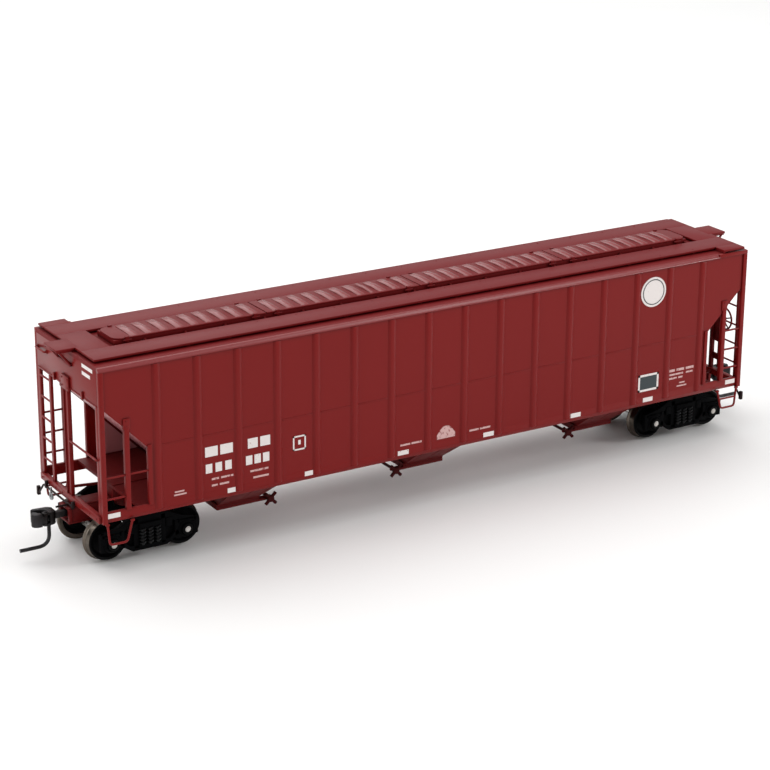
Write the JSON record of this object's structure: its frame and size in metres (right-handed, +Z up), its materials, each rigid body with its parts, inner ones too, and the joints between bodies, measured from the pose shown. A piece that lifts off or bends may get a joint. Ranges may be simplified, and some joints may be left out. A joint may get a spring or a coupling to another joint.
{
  "type": "model covered hopper car",
  "caption": "HO-scale model of a covered hopper freight car: ribbed body, trough hatches, outlet gates, swivelling trucks with rolling wheelsets and knuckle couplers.",
  "frame": {"origin": "centre of the footprint, at the height of the lowest point of the wheel flanges", "axes": "+X along the car from the end without the brake wheel to the brake end, +Y across the car, +Z up"},
  "size_m": [0.225, 0.0374, 0.0564],
  "materials": {
    "body_red": "satin oxide-red paint on moulded plastic",
    "roof_red": "satin oxide-red paint on moulded plastic, lighter on top",
    "under_red": "matt dark oxide-red paint on moulded plastic",
    "truck_black": "unpainted black engineering plastic",
    "coupler_black": "blackened die-cast metal",
    "lever_black": "black wire part",
    "wheel_metal": "turned metal, browned",
    "axle_metal": "bright turned metal",
    "steel": "plain steel"
  },
  "bodies": {
    "car": {"side_panel_near": "body_red", "side_panel_far": "body_red", "end_frame_a": "body_red", "end_frame_b": "body_red", "end_ladder_a": "body_red", "end_ladder_b": "body_red", "slope_sheet_a": "body_red", "slope_sheet_b": "body_red", "hopper_bay_1": "body_red", "hopper_bay_2": "body_red", "hopper_bay_3": "body_red", "ladder_step_a": "body_red", "ladder_step_b": "body_red", "corner_step_a": "body_red", "corner_step_b": "body_red", "brake_housing": "body_red", "brake_wheel": "body_red", "roof_panel": "roof_red", "running_board": "roof_red", "hatch_cover_1": "roof_red", "hatch_cover_2": "roof_red", "hatch_cover_3": "roof_red", "hatch_cover_4": "roof_red", "underframe_a": "under_red", "underframe_b": "under_red", "coupler_box_lid_a": "under_red", "coupler_box_lid_b": "under_red", "floor_plate": "under_red", "outlet_gate_1": "under_red", "outlet_gate_2": "under_red", "outlet_gate_3": "under_red", "brake_cylinder": "under_red", "air_reservoir": "under_red", "control_valve": "under_red", "cut_lever_a": "lever_black", "cut_lever_b": "lever_black", "ballast_weight": "steel", "truck_screw_a": "steel", "truck_screw_b": "steel"},
    "truck_a": {"truck_frame_a": "truck_black"},
    "coupler_a": {"coupler_a": "coupler_black", "trip_pin_a": "coupler_black"},
    "knuckle_a": {"knuckle_a": "coupler_black"},
    "truck_b": {"truck_frame_b": "truck_black"},
    "coupler_b": {"coupler_b": "coupler_black", "trip_pin_b": "coupler_black"},
    "knuckle_b": {"knuckle_b": "coupler_black"},
    "wheelset_a1": {"axle_a1": "axle_metal", "wheel_a1_left": "wheel_metal", "wheel_a1_right": "wheel_metal"},
    "wheelset_a2": {"axle_a2": "axle_metal", "wheel_a2_left": "wheel_metal", "wheel_a2_right": "wheel_metal"},
    "wheelset_b1": {"axle_b1": "axle_metal", "wheel_b1_left": "wheel_metal", "wheel_b1_right": "wheel_metal"},
    "wheelset_b2": {"axle_b2": "axle_metal", "wheel_b2_left": "wheel_metal", "wheel_b2_right": "wheel_metal"}
  },
  "joints": [
    {"name": "truck_a_swivel", "type": "hinge", "parent": "car", "child": "truck_a", "pos_m": [-0.0832, 0, 0.0105], "axis": [0, 0, 1], "range_deg": [-12, 12]},
    {"name": "wheelset_a1_roll", "type": "hinge", "parent": "truck_a", "child": "wheelset_a1", "pos_m": [-0.0731, 0, 0.0058], "axis": [0, 1, 0], "continuous": true},
    {"name": "wheelset_a2_roll", "type": "hinge", "parent": "truck_a", "child": "wheelset_a2", "pos_m": [-0.0933, 0, 0.0058], "axis": [0, 1, 0], "continuous": true},
    {"name": "coupler_a_swing", "type": "hinge", "parent": "car", "child": "coupler_a", "pos_m": [-0.0939, 0, 0.0112], "axis": [0, 0, 1], "range_deg": [-10, 10], "stiffness_Nm_per_rad": 0.0005},
    {"name": "knuckle_a_open", "type": "hinge", "parent": "coupler_a", "child": "knuckle_a", "pos_m": [-0.106, -0.00135, 0.0112], "axis": [0, 0, 1], "range_deg": [0, 35], "stiffness_Nm_per_rad": 0.00005},
    {"name": "truck_b_swivel", "type": "hinge", "parent": "car", "child": "truck_b", "pos_m": [0.0832, 0, 0.0105], "axis": [0, 0, 1], "range_deg": [-12, 12]},
    {"name": "wheelset_b1_roll", "type": "hinge", "parent": "truck_b", "child": "wheelset_b1", "pos_m": [0.0731, 0, 0.0058], "axis": [0, 1, 0], "continuous": true},
    {"name": "wheelset_b2_roll", "type": "hinge", "parent": "truck_b", "child": "wheelset_b2", "pos_m": [0.0933, 0, 0.0058], "axis": [0, 1, 0], "continuous": true},
    {"name": "coupler_b_swing", "type": "hinge", "parent": "car", "child": "coupler_b", "pos_m": [0.0939, 0, 0.0112], "axis": [0, 0, 1], "range_deg": [-10, 10], "stiffness_Nm_per_rad": 0.0005},
    {"name": "knuckle_b_open", "type": "hinge", "parent": "coupler_b", "child": "knuckle_b", "pos_m": [0.106, 0.00135, 0.0112], "axis": [0, 0, 1], "range_deg": [0, 35], "stiffness_Nm_per_rad": 0.00005}
  ]
}
